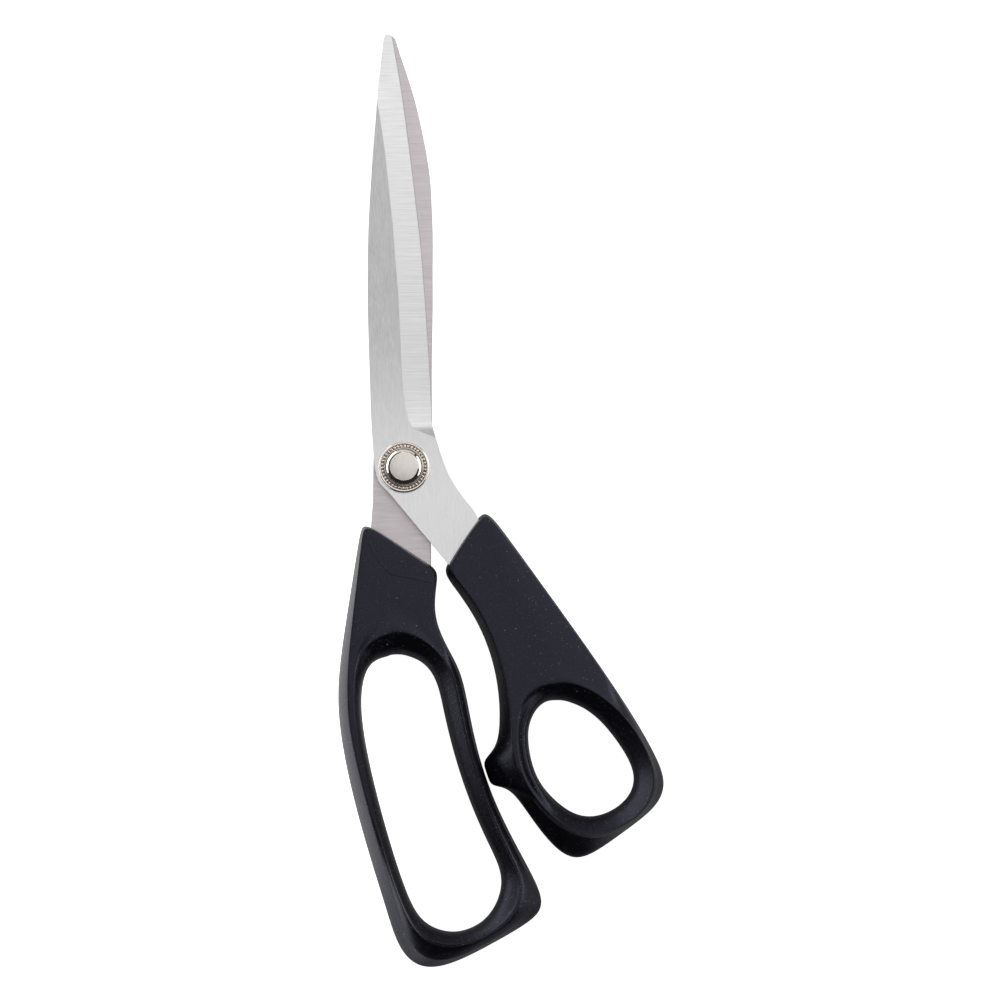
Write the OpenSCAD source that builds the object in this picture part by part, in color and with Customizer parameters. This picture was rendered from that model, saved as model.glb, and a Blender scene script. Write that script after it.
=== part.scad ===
// Ten-inch fabric shears: two steel blades on a slotted-nut pivot, each moulded into a
// black plastic handle. The shears lie flat, closed. Units are millimetres and +Z is up.
// The origin is on the pivot axis in the plane of the table, and +Y points to the tips.

/* [Blades] */
// Pivot to tip
blade_length = 119; // [95:1:145]
// Width of each blade across the pivot
blade_width = 16.4; // [15:0.1:20]
// Thickness of each blade
blade_thickness = 2.8; // [2:0.1:3.4]
// Steel left standing at the cutting edge
edge_land = 0.4; // [0.2:0.05:0.8]

/* [Handles] */
// Pivot to the far end of the finger handle
handle_length = 136; // [120:1:165]
// Height of both moulded handles
handle_height = 11; // [10:0.5:14]
// Gap left between the closing lug and the finger handle
stop_gap = 0.25; // [0.2:0.05:1]

/* [Pivot] */
// Diameter of the bolt shank
bolt_diameter = 6; // [4.5:0.1:7]
// Diameter of the polished bolt head
head_diameter = 9.5; // [8.5:0.1:10]
// Diameter of the beaded rosette
rosette_diameter = 13.9; // [12:0.1:16]
// Beads round the rosette
bead_count = 38; // [24:1:44]
// Wall of the bronze bush in the lower blade
bush_wall = 1; // [0.8:0.1:1.4]
// Nylon washer between the blades
washer_thickness = 0.2; // [0.1:0.05:0.4]
// Sprung steel washer over the nut
spring_thickness = 0.4; // [0.3:0.1:0.6]
// Diameter of the tension nut
nut_diameter = 12; // [10.5:0.5:14]
// Height of the tension nut
nut_height = 1.7; // [1.3:0.1:2]
// Radial running clearance of every turning fit
running_clearance = 0.04; // [0.02:0.01:0.08]

/* [Hidden] */
$fn = 96;
over = 1;                                   // how far a cutter runs past what it cuts

// The stack on the bolt, from the table up
spring_z = nut_height;
lower_z = spring_z + spring_thickness;
washer_z = lower_z + blade_thickness;
upper_z = washer_z + washer_thickness;
shim_z = upper_z + blade_thickness;
shim_thickness = 0.15;
rosette_z = shim_z + shim_thickness;
rosette_plate = 0.75;                       // the rosette under the bolt head
rosette_rim = 1.15;                         // the rosette at its lip
bead_floor = 0.5;                           // the rosette between its beads
lip_width = 0.3;                            // of the lip round the bolt head
groove_share = 0.525;                       // of the rosette past its lip, for the beads
bead_stand = 0.75;                          // of a bead's radius, from its floor to its middle
head_gap = 0.3;                             // between the bolt head and the lip
head_z = rosette_z + rosette_plate;
head_height = 1.95;
head_chamfer = 0.95;                        // across the polished slope
head_drop = 0.6;                            // down the polished slope
bolt_flat = 0.4 * bolt_diameter;            // axis to the flat that keys the bolt
key_gap = 0.02;

// A smooth closed curve steered by a ring of control points (uniform cubic B-spline)
function blend(t) = [pow(1 - t, 3), 3 * pow(t, 3) - 6 * t * t + 4,
                     -3 * pow(t, 3) + 3 * t * t + 3 * t + 1, pow(t, 3)] / 6;
function on_curve(ring, i, t) = let (n = len(ring), w = blend(t))
    w[0] * ring[(i + n - 1) % n] + w[1] * ring[i] + w[2] * ring[(i + 1) % n]
    + w[3] * ring[(i + 2) % n];
function closed_curve(ring, steps) =
    [for (i = [0 : len(ring) - 1], s = [0 : steps - 1]) on_curve(ring, i, s / steps)];

// A smooth open curve through its points (Catmull-Rom), one straight step at each end
function through_one(a, b, c, d, t) = (2 * b + (c - a) * t + (2 * a - 5 * b + 4 * c - d) * t * t
    + (3 * b - a - 3 * c + d) * pow(t, 3)) / 2;
function through(points, steps) = let (last = len(points) - 1)
    [for (i = [0 : last - 1], s = [0 : steps - 1]) through_one(points[max(0, i - 1)], points[i],
        points[i + 1], points[min(last, i + 2)], s / steps), points[last]];

// Sizes the hand-drawn outlines below were drawn at, and the stretches away from them
drawn_blade = 118;
drawn_width = 16.4;
drawn_handle = 136;
neck_y = -28;                               // the handles stretch below this line only
width_y = 8;                                // the blades widen fully above this line
function stretch(p) = [p[0], p[1] >= neck_y ? p[1]
    : neck_y + (p[1] - neck_y) * (handle_length + neck_y) / (drawn_handle + neck_y)];
function widen(y) = let (f = max(0, min(1, (y + 12) / (width_y + 12))))
    1 + f * (blade_width / drawn_width - 1);
function along(y) = y <= width_y ? y
    : width_y + (y - width_y) * (blade_length - width_y) / (drawn_blade - width_y);
function fitted(points) = [for (p = points) [p[0] * widen(p[1]), along(p[1])]];

// ---- Blades ----
curve_steps = 3;
// Each blade is drawn as a spine, tip first, and a cutting edge, heel first.
upper_spine = [[-0.6, 118.1], [-1.5, 117.2], [-2.4, 111.5], [-3.5, 103.8], [-4.5, 94.6],
               [-5.6, 85.4], [-6.6, 75.4], [-7.4, 66.2], [-8.0, 56.2], [-8.4, 43], [-8.5, 28],
               [-8.5, 14], [-8.3, 6.6], [-8.1, 2.6], [-7.8, -0.6], [-7.2, -3], [-6.2, -4.8],
               [-4.6, -6.4]];
upper_edge = [[8, 11.9], [7.9, 14], [7.8, 23.8], [7.5, 35.4], [7.1, 47], [6.6, 58.5],
              [5.8, 69.2], [4.9, 80], [3.9, 90.8], [2.8, 101.5], [1.7, 110], [0.7, 117],
              [0.1, 118]];
upper_tang = [[10.6, -26], [16, -34], [24, -46], [29.5, -54.5], [33, -55.5], [34.5, -52],
              [30, -42], [24.5, -29], [21.3, -19.5], [19.2, -13.4], [18.2, -11.8], [16, -9],
              [13.8, -5.6], [12.1, -2.4], [11, 0.7], [10.1, 3.5], [9, 7.6], [8.3, 10.1]];
upper_outline = concat(through(upper_spine, curve_steps), upper_tang,
                       through(upper_edge, curve_steps));

lower_spine = [[0.1, 118], [1.5, 116.9], [2.6, 113.1], [4.9, 105.4], [6.5, 99.2], [8, 91.5],
               [9.2, 83.8], [9.8, 76.9], [9.9, 70], [9.9, 63], [9.5, 52.3], [9.2, 43],
               [8.6, 31.5], [8.2, 21.5], [8, 13.8], [8.2, 8]];
lower_tang = [[9, 2], [9.3, -3], [8.6, -8], [7.4, -12.5], [6.7, -17], [6.5, -20.7],
              [6.3, -27], [4.6, -34], [3, -39.5], [-2, -41.5], [-7.5, -41], [-9.8, -38],
              [-10.3, -30], [-10, -22], [-9.6, -15.6], [-9.2, -12], [-8.8, -8.5],
              [-8.5, -0.6]];
lower_edge = [[-8.3, 3], [-7.8, 9], [-7.5, 14], [-7.2, 30], [-6.5, 50], [-5.4, 70], [-3.8, 90],
              [-2.4, 105], [-1, 116.5], [-0.6, 118]];
lower_outline = concat(through(lower_spine, curve_steps), lower_tang,
                       through(lower_edge, curve_steps));

// The ground slope starts along this line, heel first, and ends past the cutting edge.
upper_grind = [[9.6, 7.3], [7, 8.6], [5, 9.5], [3.3, 10.3], [2.4, 11.2], [1.9, 12.3],
               [1.5, 13.9], [0.95, 17],
               [0.4, 24], [0.3, 35], [0.1, 46], [-0.3, 56], [-0.8, 66], [-1.5, 75.5],
               [-2.2, 85.5], [-3.2, 94.6], [-4.4, 103], [-5.4, 112], [-6, 122]];
lower_grind = [[-9.6, 7.3], [-7, 8.6], [-5, 9.5], [-3.3, 10.3], [-2.4, 11.2], [-1.8, 12.3],
               [-1.3, 13.9], [-0.8, 17],
               [-0.1, 24], [0.2, 35], [0.6, 46], [1.2, 56], [1.9, 66], [2.6, 75.5],
               [3.2, 85.5], [3.4, 94.6], [3.2, 103], [3.4, 112], [3.8, 122]];
grind_width = 7.2;                          // from that line to the cutting edge

// The steel that the grinding wheel takes away: a sloping slab beside the grind line,
// on the +X side of an upper blade that lies with its outer face at z = 0
module grinding(line, side) {
    fall = blade_thickness - edge_land;
    reach = 14;                             // past the cutting edge, off the steel
    points = fitted(through(line, curve_steps));
    last = len(points) - 1;
    slope = fall / grind_width;
    section = [for (p = points)
        [[p[0], p[1], 0], [p[0] + side * reach, p[1], -slope * reach],
         [p[0] + side * reach, p[1], over], [p[0], p[1], over]]];
    corners = [for (ring = section, p = ring) p];
    sides = [for (i = [0 : last - 1], k = [0 : 3]) let (a = 4 * i + k, b = 4 * i + (k + 1) % 4)
        each [[a, b, b + 4], [a, b + 4, a + 4]]];
    faces = concat([[3, 2, 1, 0]], sides,
                   [[4 * last, 4 * last + 1, 4 * last + 2, 4 * last + 3]]);
    reversed = [for (f = faces) [for (k = [1 : len(f)]) f[len(f) - k]]];
    polyhedron(corners, side > 0 ? faces : reversed);
}

// Holes through a tang, filled by the handle's plastic as it is moulded
upper_anchors = [[21, -30], [28, -44]];
lower_anchors = [[-2, -28], [-3, -36]];
anchor_radius = 1.6;

module anchors(places) {
    for (p = places)
        translate([stretch(p)[0], stretch(p)[1], -over])
            cylinder(r = anchor_radius, h = blade_thickness + 2 * over);
}

module keyed_hole(radius, flat, height) {
    intersection() {
        cylinder(r = radius, h = height);
        translate([-2 * radius, -2 * radius, 0]) cube([2 * radius + flat, 4 * radius, height]);
    }
}

function tang_below(points) = [for (p = points) stretch(p)];

module upper_prism() {
    translate([0, 0, upper_z]) linear_extrude(blade_thickness)
        polygon(tang_below(fitted(upper_outline)));
}

module lower_prism() {
    translate([0, 0, lower_z]) linear_extrude(blade_thickness)
        polygon(tang_below(fitted(lower_outline)));
}

module upper_blade() color("silver") difference() {
    upper_prism();
    translate([0, 0, shim_z]) grinding(upper_grind, 1);
    translate([0, 0, upper_z]) anchors(upper_anchors);
    translate([0, 0, upper_z - over])
        keyed_hole(bolt_diameter / 2 + key_gap, bolt_flat + key_gap, blade_thickness + 2 * over);
}

module lower_blade() color("silver") difference() {
    lower_prism();
    translate([0, 0, lower_z]) mirror([0, 0, 1]) grinding(lower_grind, -1);
    translate([0, 0, lower_z]) anchors(lower_anchors);
    translate([0, 0, lower_z - over])
        cylinder(r = bush_radius, h = blade_thickness + 2 * over);
}

// ---- Pivot ----
bore_radius = bolt_diameter / 2 + running_clearance;
bush_radius = bore_radius + bush_wall;
washer_radius = rosette_diameter / 2;        // the thrust washer, hidden under the blade

spring_brim = 0.4;                          // of the spring washer past the nut
spring_ease = 0.1;                          // of the spring washer round the bolt
shim_setback = 0.4;                         // of the shim inside the rosette's edge

module disc(z, height, outer, inner) {
    translate([0, 0, z]) difference() {
        cylinder(r = outer, h = height);
        translate([0, 0, -over]) cylinder(r = inner, h = height + 2 * over);
    }
}

module pivot_bush() color("peru") disc(lower_z, blade_thickness, bush_radius, bore_radius);

module thrust_washer() color("ivory")
    disc(washer_z, washer_thickness, washer_radius, bore_radius);

module spring_washer() color("slategray")
    disc(spring_z, spring_thickness, nut_diameter / 2 + spring_brim, bore_radius + spring_ease);

module nylon_shim() color("ivory")
    disc(shim_z, shim_thickness, rosette_diameter / 2 - shim_setback, bore_radius);

// The rosette: a dished plate that the bolt head sits in, with a ring of beads round it
module rosette() color("silver") {
    outer = rosette_diameter / 2;
    recess = head_diameter / 2 + head_gap;
    groove = groove_share * (outer - recess - lip_width);
    groove_end = recess + lip_width + groove;
    bead_ring = groove_end - groove / 2;
    bead = min(0.4, groove / 2 - 0.02, PI * bead_ring / bead_count - 0.05);
    flange_bevel = min(0.3, (outer - groove_end) / 2);
    translate([0, 0, rosette_z]) difference() {
        union() {
            rotate_extrude() polygon([[0, 0], [outer - 0.2, 0], [outer, 0.2], [outer, 0.55],
                [outer - flange_bevel, rosette_rim - 0.25], [groove_end, rosette_rim - 0.25],
                [groove_end, bead_floor], [recess + lip_width, bead_floor],
                [recess + lip_width, rosette_rim - 0.1], [recess, rosette_rim - 0.1],
                [recess, rosette_plate], [0, rosette_plate]]);
            for (i = [0 : bead_count - 1])
                rotate(i * 360 / bead_count)
                    translate([bead_ring, 0, bead_floor + bead_stand * bead])
                        sphere(r = bead, $fn = 24);
        }
        translate([0, 0, -over])
            keyed_hole(bolt_diameter / 2 + key_gap, bolt_flat + key_gap, rosette_rim + 2 * over);
    }
}

// The bolt: a chamfered head in the rosette, a shank with a keying flat down to the lower
// blade, and a round end that carries the nut
module pivot_bolt() color("silver") {
    head = head_diameter / 2;
    shank = bolt_diameter / 2;
    translate([0, 0, head_z]) rotate_extrude() polygon([[0, 0], [head, 0],
        [head, head_height - head_drop], [head - head_chamfer, head_height], [0, head_height]]);
    translate([0, 0, upper_z]) keyed_hole(shank, bolt_flat, head_z - upper_z);
    cylinder(r = shank, h = upper_z);
}

module tension_nut() color("silver") difference() {
    slot_width = 1.4;
    slot_depth = 0.8;
    slot_start = bore_radius + 0.6;
    bevel = 0.3;
    outer = nut_diameter / 2;
    rotate_extrude() polygon([[bore_radius, 0], [outer - bevel, 0], [outer, bevel],
        [outer, nut_height], [bore_radius, nut_height]]);
    for (side = [-1, 1])
        translate([side > 0 ? slot_start : -outer - over, -slot_width / 2, -over])
            cube([outer + over - slot_start, slot_width, slot_depth + over]);
}

// ---- Handles ----
// A handle is drawn as four closed rings of control points, one row for each place round
// it: the outermost edge, the edge of the flat top, the rim of the bow and its hole.
finger_rows = [
    [[-12.4, -16.2], [-11.6, -17.0], [-5.5, -45.3], [-6.5, -51.4]],
    [[-11.6, -15.2], [-10.8, -16.4], [-5.0, -45.1], [-6.0, -51.2]],
    [[-9.2, -15.9], [-9.0, -16.5], [-4.5, -44.9], [-5.5, -51.0]],
    [[-2.5, -20.6], [-2.7, -21.2], [-3.6, -44.9], [-4.6, -50.9]],
    [[4.5, -25.6], [4.1, -26.2], [-2.4, -45.0], [-3.4, -50.9]],
    [[8.2, -28.0], [7.3, -28.6], [-1.2, -45.2], [-2.2, -51.0]],
    [[7.9, -31.3], [7.3, -31.5], [0.2, -45.6], [-0.8, -51.4]],
    [[6.9, -36.8], [6.5, -36.9], [2.2, -46.5], [1.2, -52.2]],
    [[7.2, -42.5], [6.7, -42.8], [4.8, -48.0], [3.2, -53.3]],
    [[10.0, -49.3], [9.3, -49.6], [8.2, -51.2], [5.6, -55.9]],
    [[13.7, -56.0], [13.0, -56.3], [11.2, -56.4], [7.4, -60.4]],
    [[15.1, -65.0], [14.5, -65.2], [12.5, -65.0], [8.4, -67.0]],
    [[17.1, -77.5], [16.5, -77.8], [14.6, -77.0], [10.5, -77.5]],
    [[20.8, -90.5], [20.2, -90.8], [18.2, -90.0], [14.1, -90.5]],
    [[26.7, -103.5], [26.0, -103.6], [23.6, -103.5], [19.2, -103.0]],
    [[33.0, -115.5], [30.2, -112.5], [27.7, -112.0], [22.8, -110.5]],
    [[34.0, -121.5], [30.2, -119.5], [27.9, -117.5], [22.2, -117.0]],
    [[28.5, -125.5], [26.5, -125.0], [24.4, -123.6], [18.5, -123.0]],
    [[18.5, -130.6], [17.8, -129.9], [17.5, -127.8], [14.0, -125.6]],
    [[8.0, -135.6], [7.8, -134.3], [10.5, -129.9], [9.2, -126.7]],
    [[-0.5, -136.6], [0.6, -133.6], [3.6, -129.0], [4.0, -125.4]],
    [[-6.2, -131.0], [-3.6, -127.5], [-1.2, -125.0], [-0.2, -122.4]],
    [[-9.0, -120.0], [-6.2, -117.5], [-4.6, -118.0], [-3.3, -115.8]],
    [[-13.4, -104.5], [-10.3, -102.5], [-9.2, -103.0], [-7.3, -102.0]],
    [[-17.7, -87.0], [-14.1, -86.5], [-13.0, -86.0], [-11.2, -85.5]],
    [[-20.4, -70.0], [-17.5, -70.0], [-15.7, -70.0], [-13.9, -70.0]],
    [[-20.4, -58.0], [-17.4, -57.0], [-15.6, -58.0], [-13.9, -60.0]],
    [[-18.0, -44.0], [-15.6, -43.0], [-13.6, -50.3], [-12.0, -54.2]],
    [[-15.3, -30.5], [-13.6, -30.0], [-10.0, -46.9], [-9.6, -52.2]],
    [[-13.3, -20.0], [-12.2, -20.3], [-6.6, -45.5], [-7.4, -51.6]]];
thumb_rows = [
    [[19.8, -13.9], [20.4, -15.0], [39.0, -60.2], [38.5, -64.8]],
    [[21.6, -12.8], [21.8, -14.2], [39.8, -60.1], [39.0, -64.8]],
    [[24.0, -14.6], [23.4, -15.4], [40.6, -60.0], [39.6, -64.8]],
    [[29.0, -22.0], [28.5, -22.2], [41.8, -60.0], [40.6, -64.9]],
    [[36.0, -32.4], [35.6, -32.7], [43.4, -60.2], [41.8, -65.1]],
    [[44.0, -44.4], [43.6, -44.6], [46.0, -61.0], [43.6, -65.8]],
    [[52.0, -56.6], [51.6, -56.8], [50.5, -63.2], [46.8, -67.2]],
    [[60.0, -69.6], [59.5, -70.0], [57.2, -69.0], [51.4, -71.0]],
    [[66.0, -81.0], [64.6, -81.0], [62.9, -77.8], [56.4, -78.0]],
    [[68.6, -88.5], [66.6, -88.5], [65.8, -87.0], [60.0, -85.0]],
    [[65.6, -94.8], [63.8, -94.8], [63.0, -94.8], [58.8, -91.0]],
    [[57.6, -100.2], [57.0, -99.9], [56.4, -99.4], [53.4, -95.4]],
    [[50.0, -105.5], [49.8, -103.0], [48.6, -101.6], [47.2, -97.0]],
    [[42.5, -109.4], [42.8, -101.6], [42.2, -100.2], [42.0, -95.4]],
    [[36.0, -103.8], [37.0, -98.0], [37.2, -96.6], [37.6, -91.6]],
    [[30.4, -95.4], [33.0, -93.4], [33.6, -92.2], [34.6, -88.0]],
    [[25.4, -87.4], [30.4, -89.3], [31.0, -88.2], [33.0, -84.8]],
    [[19.8, -87.9], [28.9, -86.0], [29.6, -85.2], [32.2, -82.2]],
    [[19.2, -83.9], [28.0, -83.3], [28.8, -82.8], [31.7, -80.0]],
    [[17.6, -80.4], [27.4, -80.8], [28.4, -80.6], [31.4, -78.0]],
    [[22.4, -77.4], [26.8, -77.5], [28.0, -77.4], [31.2, -75.4]],
    [[23.6, -70.5], [26.8, -72.0], [27.8, -72.6], [31.3, -72.0]],
    [[23.6, -62.0], [26.6, -64.0], [29.0, -67.0], [32.6, -68.5]],
    [[22.2, -52.5], [24.6, -54.0], [31.6, -63.0], [34.4, -66.2]],
    [[18.4, -42.0], [21.2, -43.0], [34.8, -60.9], [36.2, -65.1]],
    [[12.6, -33.2], [15.2, -33.2], [36.8, -60.4], [37.2, -64.9]],
    [[9.4, -28.8], [11.0, -28.4], [37.6, -60.3], [37.8, -64.8]],
    [[11.4, -25.6], [12.6, -25.8], [38.2, -60.3], [38.2, -64.8]],
    [[15.6, -19.6], [16.4, -20.0], [38.6, -60.2], [38.4, -64.8]]];
lug_first = 17;                             // the thumb handle's rows on its closing lug
lug_last = 19;
rail_steps = 3;

// One closed cross-section, from the outermost edge over the top to the hole and back
OUTER = 0;
TOP_EDGE = 1;
RIM = 2;
HOLE = 3;
// Each place: from which rail, towards which rail, how far, and its share of the height
places = [[OUTER, TOP_EDGE, 0, 0.36], [OUTER, TOP_EDGE, 0.22, 0.62],
          [OUTER, TOP_EDGE, 0.62, 0.87], [OUTER, TOP_EDGE, 1, 0.965],
          [TOP_EDGE, RIM, 0.5, 0.985], [TOP_EDGE, RIM, 1, 1],
          [RIM, HOLE, 0.3, 0.95], [RIM, HOLE, 0.65, 0.82], [RIM, HOLE, 0.92, 0.64],
          [RIM, HOLE, 1, 0.48], [RIM, HOLE, 0.85, 0.26], [RIM, HOLE, 0.5, 0.08],
          [RIM, HOLE, 0.1, 0], [TOP_EDGE, RIM, 0.1, 0], [OUTER, TOP_EDGE, 0.55, 0.06],
          [OUTER, TOP_EDGE, 0.15, 0.18]];
function section(rails) = [for (s = places)
    let (p = rails[s[0]] + (rails[s[1]] - rails[s[0]]) * s[2]) [p[0], p[1], s[3] * handle_height]];

module handle_body(rows) {
    rings = [for (r = [OUTER : HOLE])
        closed_curve([for (row = rows) stretch(row[r])], rail_steps)];
    count = len(rings[0]);
    sections = [for (i = [0 : count - 1]) section([for (ring = rings) ring[i]])];
    around = len(sections[0]);
    faces = [for (i = [0 : count - 1], k = [0 : around - 1])
        let (j = (i + 1) % count, m = (k + 1) % around)
        each [[around * i + k, around * i + m, around * j + m],
              [around * i + k, around * j + m, around * j + k]]];
    polyhedron([for (ring = sections, p = ring) p], faces);
}

function moved_lug(rows) = [for (i = [0 : len(rows) - 1]) let (row = rows[i])
    i < lug_first || i > lug_last ? row : [row[0] + [stop_gap, 0], row[1], row[2], row[3]]];

module finger_handle() color("dimgray") difference() {
    handle_body(finger_rows);
    difference() {
        lower_prism();
        translate([0, 0, lower_z]) anchors(lower_anchors);
    }
}

module thumb_handle() color("dimgray") difference() {
    handle_body(moved_lug(thumb_rows));
    difference() {
        upper_prism();
        translate([0, 0, upper_z]) anchors(upper_anchors);
    }
}

lower_blade();
finger_handle();
pivot_bush();
spring_washer();
thrust_washer();
upper_blade();
thumb_handle();
pivot_bolt();
rosette();
nylon_shim();
tension_nut();
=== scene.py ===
# %% [markdown]
# # Fabric shears, finished in Blender
#
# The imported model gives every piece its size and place. This lesson loads it as a fixed frame,
# sets up a small product studio, then rebuilds each visible piece with the detail that a
# machinist or a moulder would leave on it: ground steel, a beaded nickel rosette, and black
# handles with a rolled rim round each finger hole. All lengths are metres, and +Y runs from
# the pivot to the tips.

# %% Load the frame
import math
import bmesh
import bpy
from mathutils import Matrix, Vector


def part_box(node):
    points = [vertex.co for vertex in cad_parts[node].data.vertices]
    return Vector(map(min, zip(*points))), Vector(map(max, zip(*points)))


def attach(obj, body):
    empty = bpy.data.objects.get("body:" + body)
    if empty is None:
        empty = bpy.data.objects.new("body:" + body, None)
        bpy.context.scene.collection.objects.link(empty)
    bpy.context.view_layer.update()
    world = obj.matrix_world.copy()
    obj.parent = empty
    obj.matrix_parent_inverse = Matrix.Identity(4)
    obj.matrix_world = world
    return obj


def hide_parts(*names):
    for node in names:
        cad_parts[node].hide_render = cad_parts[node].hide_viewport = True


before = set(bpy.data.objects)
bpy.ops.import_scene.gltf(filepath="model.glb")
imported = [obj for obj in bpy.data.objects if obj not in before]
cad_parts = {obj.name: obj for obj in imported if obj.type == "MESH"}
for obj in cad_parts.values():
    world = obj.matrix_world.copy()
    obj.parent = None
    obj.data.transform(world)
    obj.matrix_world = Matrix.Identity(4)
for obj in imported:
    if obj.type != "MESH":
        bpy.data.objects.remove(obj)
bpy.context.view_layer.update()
MM = 0.001
print("nodes:", sorted(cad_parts))

# %% [markdown]
# ## The camera
#
# Product shots of flat tools are taken from above with a long lens, which keeps the blades from
# looking tapered. The camera here hangs 1.1 m over the shears, leans three degrees towards the
# handles and rolls two degrees, so the blades point a little to the left of straight up.

# %% Camera
CAMERA_TILT = math.radians(3)
CAMERA_ROLL = math.radians(2.03)
CAMERA_DISTANCE = 1.1
FIELD_WIDTH = 272.7 * MM
aim = Vector((25.8, -9.7, 5.0)) * MM


def make_camera():
    data = bpy.data.cameras.new("studio_camera")
    camera = bpy.data.objects.new("studio_camera", data)
    bpy.context.scene.collection.objects.link(camera)
    back = Vector((0, -math.sin(CAMERA_TILT), math.cos(CAMERA_TILT)))
    right = Vector((0, 1, 0)).cross(back).normalized()
    up = back.cross(right)
    turn = Matrix.Rotation(-CAMERA_ROLL, 3, back)
    axes = Matrix((turn @ right, turn @ up, back)).transposed()
    camera.matrix_world = Matrix.Translation(aim + back * CAMERA_DISTANCE) @ axes.to_4x4()
    data.sensor_width = 36
    data.lens = data.sensor_width * CAMERA_DISTANCE / FIELD_WIDTH
    data.clip_start = 0.01
    data.clip_end = 20
    bpy.context.scene.camera = camera
    return camera


camera = make_camera()
print("lens", round(camera.data.lens, 1), "mm")

# %% [markdown]
# ## The studio
#
# Polished steel shows what stands round it, so the lights matter as much as the metal. One wide
# panel overhead gives the flat blades their even pale grey. Low panels at the left and right
# put the bright strips on the handles' flanks, and the near side is left dark, which gives
# every shape that faces that way a crisp black edge. The floor is a light table: a white sheet
# that the camera sees as pure white, with a lamp under its left part that the flanks reflect.

# %% Floor
FLOOR_ALBEDO = 0.75
LAMP_GLOW = 1.1                             # of the light table beside its lamp, at the left
LAMP_EDGE = -4 * MM                         # the lamp's glow starts here, along X
LAMP_FULL = -24 * MM                        # and is full from here on, to the left
SHEET_GLOW = 0.95                           # seen directly, all over


def white_light_table():
    """A white sheet on a light table whose lamp lies at the left, from LAMP_EDGE on."""
    shape = bmesh.new()
    bmesh.ops.create_grid(shape, x_segments=1, y_segments=1, size=3.0)
    mesh = bpy.data.meshes.new("floor")
    shape.to_mesh(mesh)
    shape.free()
    floor = bpy.data.objects.new("floor", mesh)
    bpy.context.scene.collection.objects.link(floor)
    floor.location.z = -0.0004
    paint = bpy.data.materials.new("white_sheet")
    paint.use_nodes = True
    tree = paint.node_tree
    shader = tree.nodes["Principled BSDF"]
    shader.inputs["Base Color"].default_value = (FLOOR_ALBEDO, FLOOR_ALBEDO, FLOOR_ALBEDO, 1)
    shader.inputs["Roughness"].default_value = 0.9
    shader.inputs["Specular IOR Level"].default_value = 0.0
    shader.inputs["Emission Color"].default_value = (1, 1, 1, 1)
    place = tree.nodes.new("ShaderNodeTexCoord")
    parts = tree.nodes.new("ShaderNodeSeparateXYZ")
    tree.links.new(place.outputs["Object"], parts.inputs[0])
    lamp = tree.nodes.new("ShaderNodeMapRange")
    lamp.inputs["From Min"].default_value = LAMP_EDGE
    lamp.inputs["From Max"].default_value = LAMP_FULL
    lamp.inputs["To Min"].default_value = 0.0
    lamp.inputs["To Max"].default_value = LAMP_GLOW
    tree.links.new(parts.outputs["X"], lamp.inputs["Value"])
    seen = tree.nodes.new("ShaderNodeLightPath")
    glow = tree.nodes.new("ShaderNodeMath")
    glow.operation = "MULTIPLY_ADD"
    glow.inputs[1].default_value = SHEET_GLOW
    tree.links.new(seen.outputs["Is Camera Ray"], glow.inputs[0])
    tree.links.new(lamp.outputs["Result"], glow.inputs[2])
    tree.links.new(glow.outputs[0], shader.inputs["Emission Strength"])
    mesh.materials.append(paint)


white_light_table()

# %% Panels and sky
def panel(name, place, size, brightness, aim_at=Vector((0.02, -0.01, 0))):
    """A soft panel whose face has the given brightness, where 1 looks white."""
    data = bpy.data.lights.new(name, "AREA")
    data.shape = "RECTANGLE"
    data.size, data.size_y = size
    data.energy = brightness * math.pi * size[0] * size[1]
    light = bpy.data.objects.new(name, data)
    bpy.context.scene.collection.objects.link(light)
    place = Vector(place)
    light.location = place
    light.rotation_euler = (place - aim_at).to_track_quat("Z", "Y").to_euler()
    return light


panel("overhead_panel", (0.20, 0.50, 1.5), (1.6, 2.1), 0.88)
panel("far_right_panel", (1.15, 0.33, 1.0), (0.9, 0.8), 0.80)
panel("low_left_panel", (-1.05, 0.48, 0.34), (1.9, 0.5), 2.3)
panel("low_right_panel", (1.15, 0.10, 0.40), (1.6, 0.4), 2.8)
panel("far_panel", (0.0, 1.35, 0.52), (2.2, 0.6), 0.68)
world = bpy.data.worlds.new("studio_sky")
world.use_nodes = True
world.node_tree.nodes["Background"].inputs["Color"].default_value = (1.0, 1.0, 1.0, 1)
world.node_tree.nodes["Background"].inputs["Strength"].default_value = 0.02
bpy.context.scene.world = world
bpy.context.scene.view_settings.view_transform = "Standard"

# %% [markdown]
# ## Shared effects
#
# Several finishes need the same few effects: fine streaks left by a grinding belt, a grain on
# moulded plastic, and specks of dust. Each is a node group with its own inputs, so a material
# only says how long, how fine and how strong its streaks are.

# %% Node helpers
def new_group(name, inputs, outputs):
    group = bpy.data.node_groups.new(name, "ShaderNodeTree")
    for label, kind, value in inputs:
        socket = group.interface.new_socket(name=label, in_out="INPUT", socket_type=kind)
        if value is not None:
            socket.default_value = value
    for label, kind in outputs:
        group.interface.new_socket(name=label, in_out="OUTPUT", socket_type=kind)
    return group, group.nodes.new("NodeGroupInput"), group.nodes.new("NodeGroupOutput")


def node(tree, kind, **values):
    made = tree.nodes.new(kind)
    for key, value in values.items():
        setattr(made, key, value)
    return made


def math_node(tree, operation, a, b):
    made = node(tree, "ShaderNodeMath", operation=operation)
    for socket, value in ((made.inputs[0], a), (made.inputs[1], b)):
        if isinstance(value, (int, float)):
            socket.default_value = value
        else:
            tree.links.new(value, socket)
    return made.outputs[0]


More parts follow.
